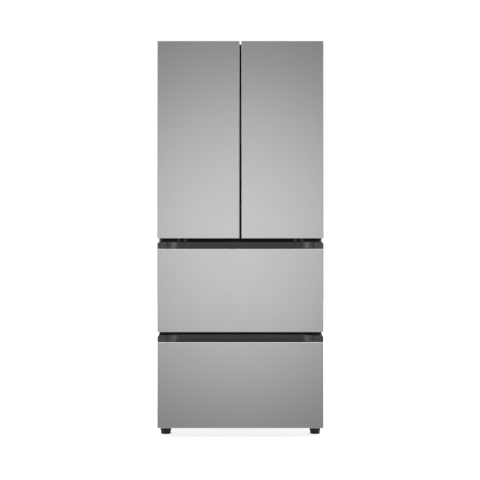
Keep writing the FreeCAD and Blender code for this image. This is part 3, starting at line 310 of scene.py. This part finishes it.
satin_black = finish("black_satin_paint", black_satin)
dress(satin_black, "center_mullion", "upper_rail", "lower_rail")
rail_low, rail_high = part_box("lower_rail")
mullion_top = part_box("center_mullion")[1].z
cap_front, cap_reach, cap_lap, cap_round = rail_low.y - 0.0012, 0.3718, 0.004, 0.0008
mullion_cap_half, mullion_cap_rise = 0.015, 0.0365
lower_rail_cap = (rail_high.x, rail_low.z + cap_lap, rail_high.z - cap_lap)
mid_hinge_cap = (0.3692, 0.8746, 0.9014)
# Painted shade: dark caps laid over the folded edges where they fall into shade in the gaps between the
# fronts.
shade_caps = [(-mullion_cap_half, mullion_cap_half, mullion_top - cap_lap, mullion_top + mullion_cap_rise)]
for side in (-1, 1):
    for start, foot, head in (lower_rail_cap, mid_hinge_cap):
        shade_caps.append((*sorted((side * start, side * cap_reach)), foot, head))
shape = bmesh.new()
for left, right, foot, head in shade_caps:
    verts = block(shape, (left, cap_front, foot), (right, rail_low.y, head))
    round_off(shape, edges_where(verts, lambda co: co.y < rail_low.y), cap_round, 2)
piece("rail_end_shade_caps", shape, "cabinet", "dark_trim", satin_black)


# Control strip: a black glossy touch panel with soft keys, stuck to the trim between the upper
# openings. Its keys show as one column of pale points that are not lit.
def touch_gloss(place):
    key_spacing, key_radius = 0.026, 0.0022
    across = place.add("ShaderNodeSeparateXYZ", {}, {"Vector": place})
    high = place.add("ShaderNodeSeparateXYZ", {}, {"Vector": place}, "Z")
    step = place.add("ShaderNodeMath", {"operation": "FRACT"}, {0: high * (1 / key_spacing)})
    down = (step - 0.5) * key_spacing
    key = across * across + down * down < key_radius ** 2
    dust = place.noise(800.0, 2.0)
    return {
        "Base Color": key.between((0.004, 0.004, 0.0045, 1), (0.16, 0.165, 0.17, 1)),
        "Roughness": 0.10 + dust * 0.06,
        "Specular IOR Level": 0.25,
    }


dress(finish("touch_panel_gloss", touch_gloss), "control_panel")


# Hinges: steel plates with pressed-in pins, zinc-plated on the cabinet top, where moulded grey covers
# hide them, and enamelled black between the doors and the drawer. Screws hold them to the cabinet.
def moulded_grey(place):
    grain = place.noise(1100.0, 2.0)
    cloud = place.noise(10.0, 2.0)
    return {
        "Base Color": cloud.between((0.26, 0.265, 0.27, 1), (0.32, 0.325, 0.33, 1)),
        "Roughness": 0.48 + grain * 0.12,
        "Normal": grain.bump(0.00007, 0.7),
    }


def black_enamel(place):
    run = place.noise(30.0, 4.0)
    return {
        "Base Color": run.between((0.009, 0.009, 0.0095, 1), (0.018, 0.018, 0.0185, 1)),
        "Roughness": 0.26 + run * 0.16,
        "Specular IOR Level": 0.3,
        "Normal": run.bump(0.0002, 0.25),
    }


def blackened_steel(place):
    stain = place.noise(300.0, 3.0)
    return {
        "Base Color": stain.between((0.17, 0.17, 0.175, 1), (0.26, 0.26, 0.265, 1)),
        "Metallic": 0.9,
        "Roughness": 0.34 + stain * 0.14,
    }


def cut(shape, place, facing):
    """Cuts new edges into a shape where a plane crosses it."""
    whole = shape.verts[:] + shape.edges[:] + shape.faces[:]
    bmesh.ops.bisect_plane(shape, geom=whole, plane_co=place, plane_no=facing, dist=0.000001)


def sink(shape, middle, half, level, depth, slope):
    """Presses a rectangular recess into the faces that look up at a level."""
    rim, close = Vector((*middle, level)), 0.00001
    for axis, reach in ((Vector((1, 0, 0)), half[0]), (Vector((0, 1, 0)), half[1])):
        for way in (-1, 1):
            cut(shape, rim + axis * reach * way, axis)
    limits = (half[0] + close, half[1] + close, close)
    inside = []
    for face in shape.faces:
        gaps = [vert.co - rim for vert in face.verts]
        if all(abs(gap[axis]) < limits[axis] for gap in gaps for axis in range(3)):
            inside.append(face)
    bmesh.ops.inset_region(shape, faces=inside, thickness=slope, depth=-depth, use_even_offset=True)


grey = finish("moulded_grey_plastic", moulded_grey)
enamel = finish("black_enamel", black_enamel)
dress(zinc, "top_hinges")
dress(enamel, "mid_hinges")
cover_low, cover_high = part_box("hinge_covers")
cover_width, cover_round = 0.088, 0.0035
recess, recess_half, recess_slope = 0.0042, 0.010, 0.0015
screw_places = []
shape = bmesh.new()
for side in (-1, 1):
    inner, outer = sorted((side * (cover_high.x - cover_width), side * cover_high.x))
    verts = block(shape, (inner, cover_low.y, cover_low.z), (outer, cover_high.y, cover_high.z))
    round_off(shape, edges_where(verts, lambda co: True), cover_round, 4)
    for depth in (0.026, 0.087):
        across = side * (cover_high.x - cover_width / 2)
        screw_places.append(Vector((across, cover_low.y + depth, cover_high.z - recess)))
for place in screw_places:
    sink(shape, place.to_2d(), (recess_half, recess_half), cover_high.z, recess, recess_slope)
piece("hinge_hoods", shape, "cabinet", "grey_cap", grey, "hinge_covers")
shape = bmesh.new()
for place in screw_places:
    screw(shape, place, Matrix.Identity(4))
piece("hinge_screws", shape, "cabinet", "zinc_steel", zinc)
face_front = Matrix.Rotation(math.radians(90), 4, "X")
plate_front, plate_middle = -0.3115, 0.8935
shape = bmesh.new()
for side in (-1, 1):
    for reach in (0.252, 0.284):
        screw(shape, (side * reach, plate_front, plate_middle), face_front)
piece("mid_hinge_screws", shape, "cabinet", "black_paint", finish("blackened_steel", blackened_steel))


# Shelves: panes of tempered glass that rest on the ribs of the liners. Each has a moulded white trim
# pushed on its front edge and a low stop at the back.
def tempered_glass(place):
    smear = place.noise(5.0, 4.0)
    return {
        "Base Color": smear.between((0.72, 0.82, 0.80, 1), (0.78, 0.87, 0.85, 1)),
        "Roughness": 0.02 + smear * 0.03,
        "Specular IOR Level": 1.0,
        "Alpha": 0.26 + smear * 0.06,
    }


glass = finish("tempered_glass", tempered_glass)
inside_floor, inside_height, spaces = 0.945, 0.809, 3
pane_inner, pane_outer, pane_front, pane_back, pane_thick = 0.0365, 0.3325, -0.214, 0.289, 0.005
pane_round, trim_round, skirt_inset = 0.0008, 0.0012, 0.010
panes, trims = bmesh.new(), bmesh.new()
for side in (-1, 1):
    left, right = sorted((side * pane_inner, side * pane_outer))
    for tier in range(1, spaces):
        level = inside_floor + tier * inside_height / spaces
        verts = block(panes, (left, pane_front, level), (right, pane_back, level + pane_thick))
        round_off(panes, edges_where(verts, lambda co: True), pane_round, 2)
        skirt = ((left + skirt_inset, -0.2190, level - 0.0090),
                 (right - skirt_inset, -0.2075, level - 0.0002))
        nose = ((left, -0.2195, level - 0.0030), (right, pane_front, level + 0.0075))
        stop = ((left, 0.2860, level + 0.0052), (right, 0.2915, level + 0.0120))
        for low, high in (skirt, nose, stop):
            verts = block(trims, low, high)
            round_off(trims, edges_where(verts, lambda co: True), trim_round, 3)
piece("shelf_panes", panes, "cabinet", "shelf_glass", glass, "upper_shelves")
piece("shelf_trims", trims, "cabinet", "white_liner", white)


# Lamps: a milky moulded cover on the ceiling of each upper compartment, with the lights behind it.
# It clips into the liner and is not lit.
def milky_cover(place):
    ripple = place.noise(160.0, 2.0, (1.0, 0.1, 1.0))
    return {
        "Base Color": ripple.between((0.80, 0.80, 0.77, 1), (0.88, 0.88, 0.85, 1)),
        "Roughness": 0.34 + ripple * 0.1,
        "Normal": ripple.bump(0.0002, 0.4),
    }


lamp_middle, lamp_half, lamp_front, lamp_back = 0.1845, 0.080, -0.180, -0.120
lamp_low, ceiling, lamp_round = 1.7475, 1.7545, 0.004
shape = bmesh.new()
for side in (-1, 1):
    middle = side * lamp_middle
    verts = block(shape, (middle - lamp_half, lamp_front, lamp_low), (middle + lamp_half, lamp_back, ceiling))
    round_off(shape, edges_where(verts, lambda co: co.z < ceiling - 0.001), lamp_round, 4)
piece("ceiling_lamps", shape, "cabinet", "white_liner", finish("milky_lamp_cover", milky_cover))


# Machine room: a sealed compressor on rubber blocks, a flat-tube condenser over its drain pan, and a
# fan that draws air through a shroud. The steel pieces are painted black and the rest is moulded.
def black_moulded(place):
    grain = place.noise(900.0, 2.0)
    cloud = place.noise(24.0, 3.0)
    return {
        "Base Color": cloud.between((0.012, 0.012, 0.0125, 1), (0.022, 0.022, 0.0225, 1)),
        "Roughness": 0.44 + grain * 0.14,
        "Normal": grain.bump(0.00008, 0.8),
    }


def black_rubber(place):
    bloom = place.noise(45.0, 4.0)
    return {
        "Base Color": bloom.between((0.012, 0.012, 0.012, 1), (0.03, 0.03, 0.03, 1)),
        "Roughness": 0.72 + bloom * 0.16,
        "Normal": bloom.bump(0.0001, 0.5),
    }


def cold_sheet(place):
    roll = place.noise(120.0, 2.0, (0.05, 1.0, 1.0))
    return {
        "Base Color": roll.between((0.66, 0.67, 0.68, 1), (0.76, 0.77, 0.78, 1)),
        "Metallic": 1.0,
        "Roughness": 0.30 + roll * 0.12,
        "Normal": roll.bump(0.00005, 0.5),
    }


moulded_black = finish("moulded_black_plastic", black_moulded)
dress(enamel, "compressor", "condenser")
dress(finish("mount_rubber", black_rubber), "compressor_mounts")
dress(moulded_black, "fan_shroud", "drain_pan", "condenser_fan", "cord_gland", "left_roller", "right_roller")
dress(finish("rolled_aluminium", cold_sheet), "evaporator_plates")
dress(rear_grey, "machine_cover")
room_low, room_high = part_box("machine_cover")
cover_screws = edge_screws(room_low, room_high, room_high.y, rows=4, end_gap=0.02)
piece("cover_screws", cover_screws, "cabinet", "zinc_steel", zinc)


# Feet: a moulded black foot with a pad that stands on the floor and a wider collar to turn it, both
# fluted for a grip. Its threaded stem screws into the base.
foot_reach, foot_depth = 0.345, -0.2775
foot_outline = [(0.0, 0.0), (0.0200, 0.0), (0.0218, 0.0005), (0.0228, 0.0020), (0.0231, 0.0042),
                (0.0229, 0.0074), (0.0219, 0.0096), (0.0207, 0.0106), (0.0207, 0.0116), (0.0226, 0.0124),
                (0.0242, 0.0136), (0.0249, 0.0152), (0.0249, 0.0225), (0.0241, 0.0245), (0.0224, 0.0255),
                (0.0060, 0.0255)]
thread = [(0.0060 - 0.0008 * (turn % 2), 0.0263 + 0.0008 * turn) for turn in range(40)]
stem_top = (0.0, 0.0595)
flutes, flute_depth, fluted_from, steps_in_flute = 28, 0.0008, 0.0215, 6
for name, side in (("left_foot", -1), ("right_foot", 1)):
    centre = Vector((side * foot_reach, foot_depth, 0))
    shape = bmesh.new()
    points = []
    for radius, height in foot_outline + thread + [stem_top]:
        points.append(shape.verts.new((centre.x + radius, centre.y, height)))
    line = [shape.edges.new(pair) for pair in zip(points, points[1:])]
    bmesh.ops.spin(shape, geom=points + line, cent=centre, axis=(0, 0, 1), angle=math.tau,
                   steps=flutes * steps_in_flute, use_merge=True)
    bmesh.ops.remove_doubles(shape, verts=shape.verts, dist=0.00001)
    bmesh.ops.recalc_face_normals(shape, faces=shape.faces)
    for vert in shape.verts:
        out = (vert.co - centre).to_2d()
        if out.length > fluted_from:
            inward = flute_depth * (0.5 - 0.5 * math.cos(flutes * math.atan2(out.y, out.x)))
            vert.co -= (out.normalized() * inward).to_3d()
    piece(f"{name}_turned", shape, name, "black_plastic", moulded_black, name)


# Door skins: steel sheet folded back on all four sides into a shallow pan with a soft front edge, in a
# satin silver finish with a very fine upright grain. The foam bonds it to the caps and the liner.
def satin_silver(place):
    hair = place.noise(2600.0, 2.0, (1.0, 1.0, 0.02))
    cloud = place.noise(2.2, 2.0)
    smear = place.noise(11.0, 4.0)
    shade = hair * 0.4 + cloud * 0.6
    return {
        "Base Color": shade.between((0.722, 0.7305, 0.747, 1), (0.768, 0.777, 0.795, 1)),
        "Metallic": 1.0,
        "Roughness": 0.175 + hair * 0.03 + smear * 0.02,
        "Normal": hair.bump(0.000004, 0.4),
    }


def pan(low, high, top_fold):
    """A folded front, open at the back, whose upper and lower folds are only a lip deep."""
    low_fold, side_fold, lip, wall, close = 0.0015, 0.0034, 0.014, 0.0008, 0.0001
    shape = bmesh.new()
    block(shape, low, high)
    for end in (low.x, high.x):
        front_edge = edges_where(shape.verts, lambda co: co.y < high.y - close and abs(co.x - end) < close)
        round_off(shape, front_edge, side_fold, 5)
    for end, fold in ((low.z, low_fold), (high.z, top_fold)):
        around = edges_where(shape.verts, lambda co: abs(co.z - end) < close)
        folded = [edge for edge in around if min(vert.co.y for vert in edge.verts) < high.y - 0.001]
        round_off(shape, folded, fold, 6)
    cut(shape, (0, low.y + lip, 0), (0, 1, 0))
    gone = []
    for face in shape.faces:
        middle = face.calc_center_median()
        level = middle.z < low.z + close or middle.z > high.z - close
        if middle.y > high.y - close or (level and middle.y > low.y + lip):
            gone.append(face)
    bmesh.ops.delete(shape, geom=gone, context="FACES")
    bmesh.ops.solidify(shape, geom=shape.faces[:], thickness=wall)
    return shape


silver = finish("satin_silver_steel", satin_silver)
for side in ("left", "right"):
    low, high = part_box(f"{side}_door_skin")
    skin = pan(low, high, top_fold=0.0015)
    piece(f"{side}_door_front", skin, f"{side}_door", "silver_front", silver, f"{side}_door_skin")


# Door insides: grey moulded caps with the hinge bores and the finger recess, clear bins on rests of
# the liner, and a grey magnetic seal pushed into a groove around the dike.
def clear_plastic(place):
    flow = place.noise(7.0, 3.0)
    return {
        "Base Color": flow.between((0.84, 0.87, 0.88, 1), (0.90, 0.92, 0.93, 1)),
        "Roughness": 0.05 + flow * 0.06,
        "Transmission Weight": 0.85,
        "IOR": 1.46,
    }


def seal_rubber(place):
    along = place.noise(60.0, 3.0)
    grain = place.noise(1200.0, 2.0)
    return {
        "Base Color": along.between((0.33, 0.335, 0.34, 1), (0.41, 0.415, 0.42, 1)),
        "Roughness": 0.58 + grain * 0.14,
        "Normal": grain.bump(0.00008, 0.6),
    }


clear = finish("clear_moulded_plastic", clear_plastic)
rubber = finish("grey_seal_rubber", seal_rubber)
for side in ("left", "right"):
    dress(grey, f"{side}_door_caps")
    dress(clear, f"{side}_door_bins")
    dress(rubber, f"{side}_door_gasket")


# Drawer fronts: the same folded silver pans as on the doors, with a larger round at the top, where
# fingers reach over the lip. Their lower lips end just above the lower edges of the liners.
lip_fold, lip_gap = 0.0050, 0.0004
for name, low_gap in (("middle", 0.0011), ("lower", 0.0018)):
    low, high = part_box(f"{name}_drawer_panel")
    skin = pan(low + Vector((0, 0, low_gap)), high - Vector((0, 0, lip_gap)), lip_fold)
    piece(f"{name}_drawer_front", skin, f"{name}_drawer", "silver_front", silver, f"{name}_drawer_panel")


# Drawer headers: a dark moulded piece over each pan, with a finger groove that runs down behind the lip
# of the pan, so no handle stands out. The middle of its mouth is grained and the flared ends are smooth.
def header_plastic(place):
    grained_reach = 0.270
    across = place.add("ShaderNodeSeparateXYZ", {}, {"Vector": place})
    grained = across * across < grained_reach ** 2
    grain = place.noise(1500.0, 2.0)
    cloud = place.noise(8.0, 2.0)
    return {
        "Base Color": cloud.between((0.008, 0.0085, 0.0095, 1), (0.012, 0.0125, 0.0135, 1)),
        "Roughness": 0.25 + grained * 0.15 + grain * 0.06,
        "IOR": 1.66,
        "Specular IOR Level": 1.0,
        "Normal": grain.bump(0.00005, 0.6),
    }


header = finish("dark_header_plastic", header_plastic)
mouth_front, mouth_back, header_back, flare_start, flare_end = -0.3795, -0.3505, -0.322, 0.283, 0.322
groove_front, groove_reach, groove_depth, groove_slope = -0.3705, 0.268, 0.022, 0.002
groove_middle = (0, (groove_front + mouth_back) / 2)
groove_half = (groove_reach, (mouth_back - groove_front) / 2)
foot_front, foot_inset, foot_overlap, end_round = -0.3735, 0.0022, 0.0003, 0.010
for name in ("middle", "lower"):
    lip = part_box(f"{name}_drawer_panel")[1].z
    grip_low, grip_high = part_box(f"{name}_drawer_grip")
    half, top, seat = grip_high.x, grip_high.z, lip - foot_overlap
    outline = [(-half, mouth_front), (-flare_end, mouth_front), (-flare_start, mouth_back),
               (flare_start, mouth_back), (flare_end, mouth_front), (half, mouth_front),
               (half, header_back), (-half, header_back)]
    shape = bmesh.new()
    ground = shape.faces.new([shape.verts.new((x, y, seat)) for x, y in outline])
    raised = bmesh.ops.extrude_face_region(shape, geom=[ground])["geom"]
    upper = [part for part in raised if isinstance(part, bmesh.types.BMVert)]
    bmesh.ops.translate(shape, verts=upper, vec=(0, 0, top - seat))
    bmesh.ops.recalc_face_normals(shape, faces=shape.faces)
    for reach, radius in ((flare_end, 0.018), (flare_start, 0.014)):
        upright = [edge for edge in shape.edges if abs(edge.verts[0].co.z - edge.verts[1].co.z) > 0.01]
        corners = [edge for edge in upright if abs(abs(edge.verts[0].co.x) - reach) < 0.0001]
        round_off(shape, corners, radius, 8)
    ends = edges_where(shape.verts, lambda co: abs(co.x) > half - 0.0001 and co.z > lip + 0.001)
    round_off(shape, ends, end_round, 6)
    block(shape, (foot_inset - half, foot_front, grip_low.z), (half - foot_inset, header_back, lip))
    sink(shape, groove_middle, groove_half, lip, groove_depth, groove_slope)
    joint_strip = ((0.001 - half, header_back - 0.002, top - 0.0002),
                   (half - 0.001, header_back + 0.0029, top + 0.0008))
    block(shape, *joint_strip)
    piece(f"{name}_drawer_header", shape, f"{name}_drawer", "dark_plastic", header, f"{name}_drawer_grip")


# Drawer undersides: a grey moulded strip with three ribs, clipped in to close each drawer front from
# below, between the lip of the pan and the liner. The liner holds a seal like those of the doors.
strip_front, strip_inset, strip_low, strip_high, strip_round = 0.0130, 0.0011, 0.0002, 0.0021, 0.0006
rib_start, rib_spacing, rib_width, rib_inset, rib_high = 0.024, 0.013, 0.005, 0.012, 0.0010
liner_gap = 0.0003
for name in ("middle", "lower"):
    dress(rubber, f"{name}_drawer_gasket")
    low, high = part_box(f"{name}_drawer_panel")
    shape = bmesh.new()
    verts = block(shape, (low.x + strip_inset, low.y + strip_front, low.z + strip_low),
                  (high.x - strip_inset, high.y - liner_gap, low.z + strip_high))
    round_off(shape, edges_where(verts, lambda co: co.z < low.z + 0.001), strip_round, 2)
    for rib in range(3):
        rib_front = low.y + rib_start + rib * rib_spacing
        block(shape, (low.x + rib_inset, rib_front, low.z),
              (high.x - rib_inset, rib_front + rib_width, low.z + rib_high))
    piece(f"{name}_drawer_underside", shape, f"{name}_drawer", "dark_plastic", grey)


# Drawer tubs and rails: a translucent moulded tub hangs by its rims on two runners. Each runner, the
# rail around it and the channel on the liner are folded from plated steel and slide in each other.
def milky_tub(place):
    flow = place.noise(5.0, 3.0)
    grain = place.noise(700.0, 2.0)
    return {
        "Base Color": flow.between((0.76, 0.78, 0.79, 1), (0.84, 0.855, 0.86, 1)),
        "Roughness": 0.26 + grain * 0.1,
        "Transmission Weight": 0.25,
        "IOR": 1.49,
        "Normal": grain.bump(0.00005, 0.5),
    }


tub_look = finish("milky_tub_plastic", milky_tub)
for name in ("middle", "lower"):
    dress(tub_look, f"{name}_drawer_tub")
    dress(zinc, f"{name}_drawer_runners", f"{name}_drawer_mid_rails")
dress(zinc, "rail_channels")


# Studio: a pale floor that shows white and keeps the shadow, soft lamps, a white surround and the
# camera straight in front of the doors.
def showing_rays(nodes):
    """One for the rays that the camera, gloss and clear pieces see by, and nought for the rest."""
    camera_ray, gloss_ray, clear_ray = [nodes.add("ShaderNodeLightPath", output=f"Is {kind} Ray")
                                        for kind in ("Camera", "Glossy", "Transmission")]
    return camera_ray + gloss_ray + clear_ray


def pale_floor():
    made = bpy.data.materials.new("pale_floor")
    nodes = empty_nodes(made)
    mottle = nodes.add("ShaderNodeTexCoord", output="Object").noise(6.0, 3.0)
    pale = mottle.between((0.86, 0.86, 0.86, 1), (0.9, 0.9, 0.9, 1))
    lit = nodes.add("ShaderNodeBsdfDiffuse", {}, {"Color": pale})
    glow = nodes.add("ShaderNodeEmission", {}, {"Color": showing_rays(nodes) * 0.68, "Strength": 1.0})
    both = nodes.add("ShaderNodeAddShader", {}, {0: lit, 1: glow})
    nodes.add("ShaderNodeOutputMaterial", {}, {"Surface": both})
    return made


shape = bmesh.new()
bmesh.ops.create_circle(shape, cap_ends=True, segments=96, radius=9.0)
floor_mesh = bpy.data.meshes.new("floor")
shape.to_mesh(floor_mesh)
shape.free()
floor_mesh.materials.append(pale_floor())
floor = bpy.data.objects.new("floor", floor_mesh)
bpy.context.scene.collection.objects.link(floor)
floor.visible_glossy = False


def lamp(name, place, size, power, mirrored):
    """A soft lamp that looks at the middle of the object, seen in gloss or not."""
    light = bpy.data.lights.new(name, "AREA")
    light.shape = "RECTANGLE"
    light.size, light.size_y = size
    light.energy = power
    made = bpy.data.objects.new(name, light)
    made.location = place
    made.rotation_euler = (Vector((0, 0, 0.9)) - Vector(place)).to_track_quat("-Z", "Y").to_euler()
    made.visible_glossy = mirrored
    bpy.context.scene.collection.objects.link(made)


lamp("left_softbox", (-2.7, -1.0, 1.3), (1.8, 2.5), 9.8, True)
lamp("right_softbox", (2.7, -1.0, 1.3), (1.8, 2.5), 8.8, True)
lamp("top_softbox", (0.0, -0.8, 4.2), (4.0, 3.2), 45, True)
lamp("back_softbox", (1.8, 3.4, 2.8), (2.4, 2.4), 40, False)


def ring(turn, levels):
    """Light that changes with the angle from straight in front, given in degrees."""
    stops = [(angle / 180, (level, level, level, 1)) for angle, level in levels]
    return turn.add("ShaderNodeValToRGB", {"stops": stops}, {0: turn})


world = bpy.data.worlds.new("studio_surround")
bpy.context.scene.world = world
nodes = empty_nodes(world)
aim = nodes.add("ShaderNodeTexCoord", output="Generated")
side, back, high = [nodes.add("ShaderNodeSeparateXYZ", {}, {"Vector": aim}, axis) for axis in "XYZ"]
turn = nodes.add("ShaderNodeMath", {"operation": "ARCCOSINE"}, {0: back * -1}) * (1 / math.pi)
near = ring(turn, [(0, 1.0), (2, 0.96), (4, 0.87), (8, 0.67), (12, 0.275), (15, 0.145), (22, 0.0)])
far = ring(turn, [(12, 0.0), (22, 0.32), (30, 0.80), (40, 1.0)])
near_light = near * (1 - side * (side * 6 + 0.25) + high * 0.22)
far_light = far * (0.54 - side * side * 0.14 + high * (high * 0.42 + 0.09))
camera_ray = nodes.add("ShaderNodeLightPath", output="Is Camera Ray")
seen = camera_ray.between(near_light + far_light, (1, 1, 1, 1))
colour = showing_rays(nodes).between((0.68, 0.68, 0.68, 1), seen)
background = nodes.add("ShaderNodeBackground", {}, {"Color": colour, "Strength": 1.0})
nodes.add("ShaderNodeOutputWorld", {}, {"Surface": background})

camera = bpy.data.cameras.new("camera")
camera.sensor_width = 36
camera.lens = 68.2
doors_front, camera_distance = -0.3875, 4.1
camera_stand = bpy.data.objects.new("camera", camera)
camera_stand.location = (-0.0019, doors_front - camera_distance, 0.8945)
camera_stand.rotation_euler = (math.radians(90), 0, 0)
bpy.context.scene.collection.objects.link(camera_stand)
bpy.context.scene.camera = camera_stand
bpy.context.scene.view_settings.view_transform = "Standard"
